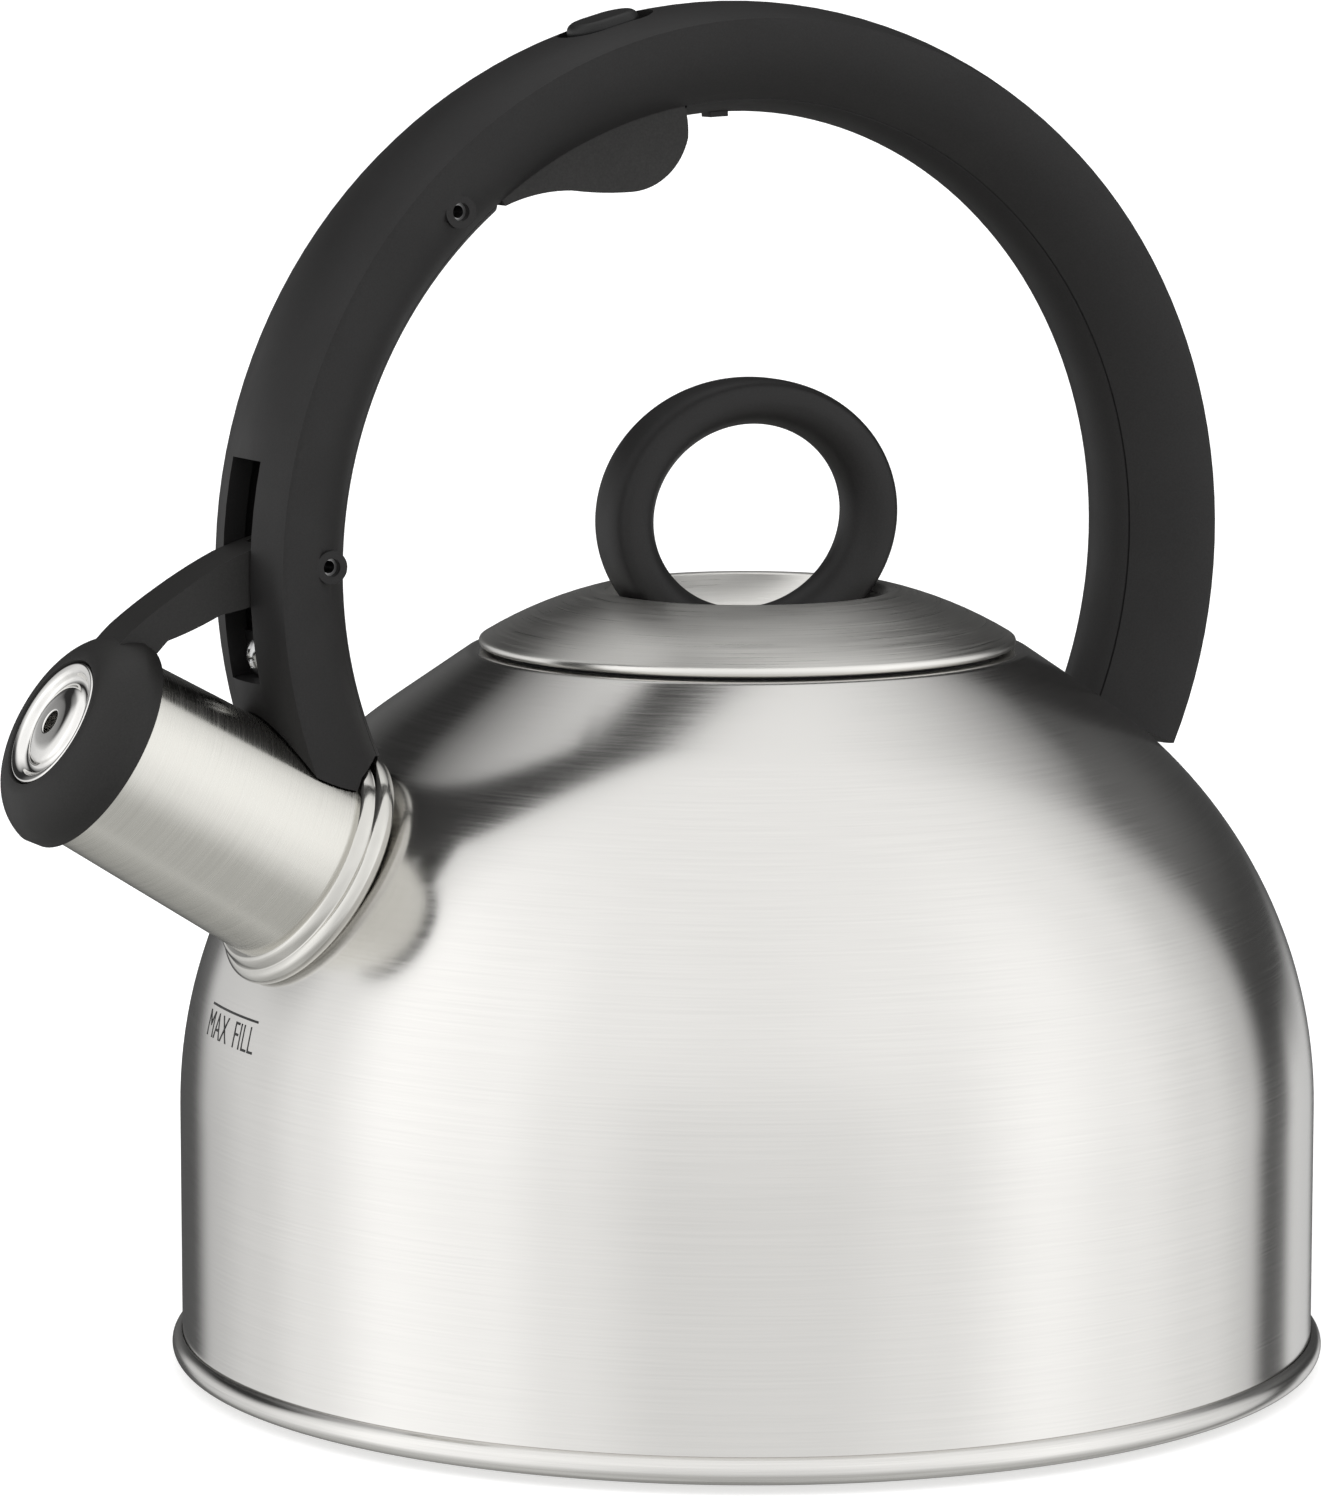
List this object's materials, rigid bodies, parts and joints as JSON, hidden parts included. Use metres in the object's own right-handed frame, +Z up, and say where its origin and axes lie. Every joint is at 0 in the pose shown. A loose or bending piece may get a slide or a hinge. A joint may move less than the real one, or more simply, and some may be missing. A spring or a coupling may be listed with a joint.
{
  "type": "stovetop whistling kettle",
  "caption": "Domed stainless stovetop kettle with a hooped handle, a thumb trigger that tips up the whistling spout cap, and a lift-off lid with a ring knob.",
  "frame": {"origin": "centre of the flat underside of the base, where the kettle stands on the hob", "axes": "+Z up; the spout points towards -X; the hooped handle lies in the plane y = 0"},
  "size_m": [0.235, 0.1986, 0.233],
  "materials": {
    "brushed_body": "circumferentially brushed stainless",
    "brushed_base": "brushed stainless",
    "aluminium_core": "matte",
    "inner_steel": "satin",
    "brushed_spout": "brushed stainless",
    "polished_collar": "polished stainless",
    "handle_black": "soft matte moulded nylon",
    "cover_black": "matte moulded nylon",
    "bracket_steel": "stamped",
    "screw_steel": "plated",
    "pin_steel": "plated",
    "trigger_black": "fine spark-eroded texture",
    "spring_steel": "bright drawn wire",
    "cap_black": "matte moulded nylon",
    "whistle_chrome": "polished stainless",
    "seal_rubber": "silicone",
    "button_black": "satin",
    "brushed_lid": "concentrically brushed stainless",
    "knob_black": "soft matte"
  },
  "bodies": {
    "kettle": {"kettle_body": "brushed_body", "base_pan": "brushed_base", "heat_spreader": "aluminium_core", "pot_floor": "inner_steel", "spout_tube": "brushed_spout", "spout_collar": "polished_collar", "handle_shell": "handle_black", "handle_rear_cover": "cover_black", "handle_front_cover": "cover_black", "rear_bracket": "bracket_steel", "front_bracket": "bracket_steel", "front_handle_screw": "screw_steel", "rear_handle_screw": "screw_steel", "trigger_pin": "pin_steel", "cap_pin": "pin_steel"},
    "trigger_lever": {"trigger": "trigger_black", "trigger_spring": "spring_steel"},
    "cap_lever": {"spout_cap": "cap_black", "cap_drive_pin": "pin_steel", "cap_spring": "spring_steel", "whistle_face_plate": "whistle_chrome", "whistle_back_plate": "inner_steel", "whistle_spacer": "inner_steel", "spout_seal": "seal_rubber"},
    "lock": {"lock_button": "button_black", "lock_latch": "cover_black"},
    "lid": {"lid_shell": "brushed_lid", "lid_plug": "inner_steel", "lid_seal": "seal_rubber", "lid_knob": "knob_black", "knob_screw": "screw_steel", "knob_washer": "screw_steel"}
  },
  "joints": [
    {"name": "trigger_squeeze", "type": "hinge", "parent": "kettle", "child": "trigger_lever", "pos_m": [-0.0605, 0, 0.1996], "axis": [0, -1, 0], "range_deg": [0, 5.75], "stiffness_Nm_per_rad": 0.3, "springref_deg": -8.59},
    {"name": "spout_cap_tip", "type": "hinge", "parent": "kettle", "child": "cap_lever", "pos_m": [-0.084, 0, 0.1424], "axis": [0, 1, 0], "range_deg": [0, 45]},
    {"name": "lock_slide", "type": "slide", "parent": "kettle", "child": "lock", "axis": [0.9646, 0, 0.2639], "range_m": [0, 0.0024]},
    {"name": "lid_lift", "type": "slide", "parent": "kettle", "child": "lid", "axis": [0, 0, 1], "range_m": [0, 0.04]}
  ],
  "couplings": [
    {"joint": "spout_cap_tip", "follows": "trigger_squeeze", "ratio": 7.8261}
  ]
}
